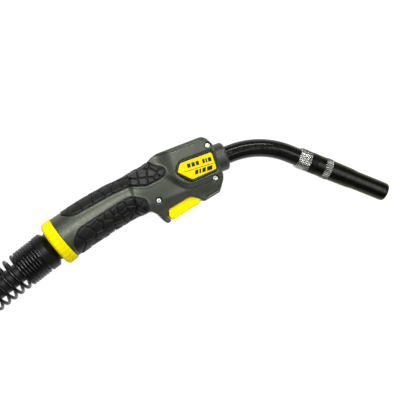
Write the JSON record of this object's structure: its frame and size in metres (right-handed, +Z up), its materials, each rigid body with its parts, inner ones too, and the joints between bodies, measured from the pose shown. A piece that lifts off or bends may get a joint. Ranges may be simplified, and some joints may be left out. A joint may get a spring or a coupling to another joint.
{
  "type": "mig welding torch",
  "caption": "Gas-cooled MIG torch: split-shell handle with trigger and soft grip, swan neck, slip-on gas nozzle, swivelling cable support with spring, coiled cable and central plug.",
  "frame": {"origin": "on the floor under the middle of the torch's box, without the cable and its plug", "axes": "+X forward along the grip, +Y away from the trigger, +Z up out of the torch's left side"},
  "size_m": [0.7645, 0.2917, 0.0492],
  "materials": {
    "handle_plastic": "satin dark grey moulded plastic with a fine texture",
    "soft_grip": "matt near-black soft grip with raised polygon cells",
    "bezel_plastic": "gloss black",
    "plate_yellow": "gloss yellow with plain black marks",
    "yellow_plastic": "satin lemon yellow",
    "screw_steel": "zinc plated",
    "spring_steel": "bright spring wire",
    "neck_black": "gloss black insulated tube",
    "copper": "bare copper",
    "brass": "machined brass",
    "liner_steel": "close-wound steel liner",
    "sleeve_chrome": "knurled bright plating",
    "nozzle_chrome": "dark polished plating, olive in its reflections",
    "insulator": "black glass-filled insulator",
    "ceramic": "pale moulded ceramic",
    "switch_plastic": "black moulded case",
    "plunger_red": "red moulded button",
    "wire_insulation": "thin insulation",
    "cable_core": "inner cable sheath",
    "cuff_plastic": "smooth black moulding",
    "spring_black": "black coated spring wire",
    "cable_rubber": "smooth black cable sheath",
    "tie_fabric": "black woven hook-and-loop strap",
    "plug_plastic": "black moulded plastic",
    "seal_rubber": "black rubber"
  },
  "bodies": {
    "handle": {"handle_shell_left": "handle_plastic", "handle_shell_right": "handle_plastic", "upper_inlay_left": "soft_grip", "upper_inlay_right": "soft_grip", "lower_inlay_left": "soft_grip", "lower_inlay_right": "soft_grip", "bezel_left": "bezel_plastic", "bezel_right": "bezel_plastic", "nameplate_left": "plate_yellow", "nameplate_right": "plate_yellow", "shell_screws": "screw_steel", "trigger_pin": "screw_steel", "trigger_spring": "spring_steel", "switch_body": "switch_plastic", "switch_terminals": "brass", "control_wires": "wire_insulation", "neck_collar": "handle_plastic", "neck_jacket": "neck_black", "neck_conductor": "copper", "wire_liner": "liner_steel", "neck_block": "brass", "cable_crimp": "brass", "cable_core": "cable_core", "neck_sleeve": "sleeve_chrome", "nozzle_insulator": "insulator", "nozzle_clip": "spring_steel", "tip_adaptor": "brass", "gas_diffuser": "ceramic", "contact_tip": "copper"},
    "trigger": {"trigger": "yellow_plastic"},
    "plunger": {"switch_plunger": "plunger_red"},
    "locking_ring": {"locking_ring": "yellow_plastic"},
    "nozzle": {"gas_nozzle": "nozzle_chrome"},
    "cable": {"cable_lead": "cable_rubber", "cable_coil": "cable_rubber", "cable_tail": "cable_rubber", "coil_ties": "tie_fabric", "plug_boot": "plug_plastic", "plug_shell_upper": "plug_plastic", "plug_shell_lower": "plug_plastic", "plug_screws": "screw_steel", "plug_body": "plug_plastic", "plug_spigot": "brass", "spigot_seal": "seal_rubber", "liner_collet": "brass"},
    "cable_support": {"support_cuff": "cuff_plastic", "support_spring": "spring_black"},
    "plug_nut": {"plug_nut": "plug_plastic"},
    "contact_pin_left": {"contact_pin_left": "brass"},
    "contact_pin_right": {"contact_pin_right": "brass"}
  },
  "joints": [
    {"name": "trigger_pull", "type": "hinge", "parent": "handle", "child": "trigger", "pos_m": [0.0347, 0.0299, 0.0246], "axis": [0, 0, -1], "range_deg": [0, 5.7], "stiffness_Nm_per_rad": 1.5, "springref_deg": -5.73},
    {"name": "plunger_press", "type": "slide", "parent": "handle", "child": "plunger", "axis": [0, 1, 0], "range_m": [0, 0.0015]},
    {"name": "ring_turn", "type": "hinge", "parent": "handle", "child": "locking_ring", "pos_m": [-0.1077, 0.0536, 0.0246], "axis": [-0.9903, -0.1392, 0], "range_deg": [0, 60]},
    {"name": "nozzle_pull", "type": "slide", "parent": "handle", "child": "nozzle", "axis": [0.6293, -0.7771, 0], "range_m": [0, 0.09]},
    {"name": "cable_tilt", "type": "hinge", "parent": "handle", "child": "cable", "pos_m": [-0.1077, 0.0536, 0.0246], "axis": [0, 0, 1], "range_deg": [-12, 12]},
    {"name": "support_swivel", "type": "hinge", "parent": "cable", "child": "cable_support", "pos_m": [-0.1077, 0.0536, 0.0246], "axis": [-0.9903, -0.1392, 0], "continuous": true},
    {"name": "nut_turn", "type": "hinge", "parent": "cable", "child": "plug_nut", "pos_m": [-0.1417, -0.1855, 0.024], "axis": [1, 0, 0], "continuous": true},
    {"name": "contact_left_press", "type": "slide", "parent": "cable", "child": "contact_pin_left", "axis": [-1, 0, 0], "range_m": [0, 0.003], "stiffness_N_per_m": 500, "springref_m": -0.002},
    {"name": "contact_right_press", "type": "slide", "parent": "cable", "child": "contact_pin_right", "axis": [-1, 0, 0], "range_m": [0, 0.003], "stiffness_N_per_m": 500, "springref_m": -0.002}
  ],
  "couplings": [
    {"joint": "plunger_press", "follows": "trigger_pull", "m_per_rad": 0.015}
  ]
}
